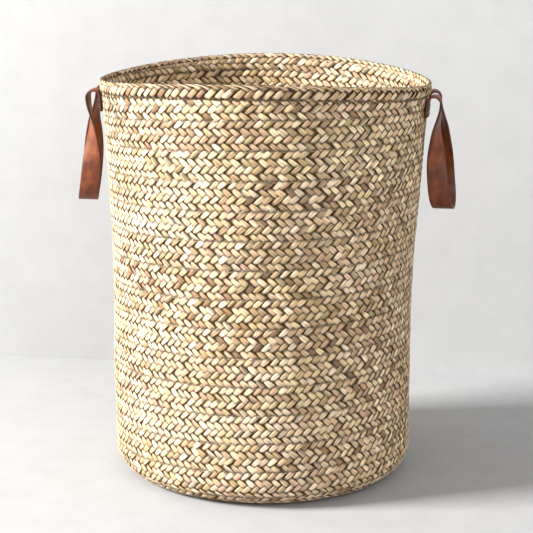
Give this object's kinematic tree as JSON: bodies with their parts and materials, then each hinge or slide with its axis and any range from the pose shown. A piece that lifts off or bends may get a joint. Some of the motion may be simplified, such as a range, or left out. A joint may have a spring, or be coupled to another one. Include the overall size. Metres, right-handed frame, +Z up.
{
  "type": "plaited storage basket",
  "caption": "Tall round open basket of plaited palm leaf, sewn in a spiral, with two riveted leather strap handles that hang and swing on its outside.",
  "frame": {"origin": "middle of the base's footprint, on the floor that the basket stands on", "axes": "+Z up through the open mouth, +X through the right-hand handle, -Y towards the front"},
  "size_m": [0.4772, 0.4098, 0.5083],
  "materials": {
    "palm_leaf": "dry plaited palm leaf, cream to olive, matt with a faint sheen along the leaf",
    "palm_cord": "twisted palm cord",
    "saddle_leather": "saddle-tan strap leather, dull wax finish",
    "rivet_steel": "dull nickel"
  },
  "bodies": {
    "basket": {"burr_left_back_high": "rivet_steel", "burr_left_back_low": "rivet_steel", "burr_left_front_high": "rivet_steel", "burr_left_front_low": "rivet_steel", "burr_right_back_high": "rivet_steel", "burr_right_back_low": "rivet_steel", "burr_right_front_high": "rivet_steel", "burr_right_front_low": "rivet_steel", "fold_left_back": "saddle_leather", "fold_left_front": "saddle_leather", "fold_right_back": "saddle_leather", "fold_right_front": "saddle_leather", "pad_left_back": "saddle_leather", "pad_left_front": "saddle_leather", "pad_right_back": "saddle_leather", "pad_right_front": "saddle_leather", "plait_centre": "palm_leaf", "plait_turn_01": "palm_leaf", "plait_turn_02": "palm_leaf", "plait_turn_03": "palm_leaf", "plait_turn_04": "palm_leaf", "plait_turn_05": "palm_leaf", "plait_turn_06": "palm_leaf", "plait_turn_07": "palm_leaf", "plait_turn_08": "palm_leaf", "plait_turn_09": "palm_leaf", "plait_turn_10": "palm_leaf", "plait_turn_11": "palm_leaf", "plait_turn_12": "palm_leaf", "plait_turn_13": "palm_leaf", "plait_turn_14": "palm_leaf", "plait_turn_15": "palm_leaf", "plait_turn_16": "palm_leaf", "plait_turn_17": "palm_leaf", "plait_turn_18": "palm_leaf", "rim_cord": "palm_cord", "rim_plait": "palm_leaf", "rivet_left_back_high": "rivet_steel", "rivet_left_back_low": "rivet_steel", "rivet_left_front_high": "rivet_steel", "rivet_left_front_low": "rivet_steel", "rivet_right_back_high": "rivet_steel", "rivet_right_back_low": "rivet_steel", "rivet_right_front_high": "rivet_steel", "rivet_right_front_low": "rivet_steel", "sewing_cord": "palm_cord", "tab_left_back": "saddle_leather", "tab_left_front": "saddle_leather", "tab_right_back": "saddle_leather", "tab_right_front": "saddle_leather"},
    "handle_left": {"handle_loop_left": "saddle_leather"},
    "handle_right": {"handle_loop_right": "saddle_leather"}
  },
  "joints": [
    {"name": "handle_left_swing", "type": "hinge", "parent": "basket", "child": "handle_left", "pos_m": [-0.20845, 0, 0.47193], "axis": [0, 1, 0], "range_deg": [-4, 133], "deforming": ["fold_left_back", "fold_left_front"]},
    {"name": "handle_right_swing", "type": "hinge", "parent": "basket", "child": "handle_right", "pos_m": [0.20845, 0, 0.47193], "axis": [0, -1, 0], "range_deg": [-4, 133], "deforming": ["fold_right_back", "fold_right_front"]}
  ]
}
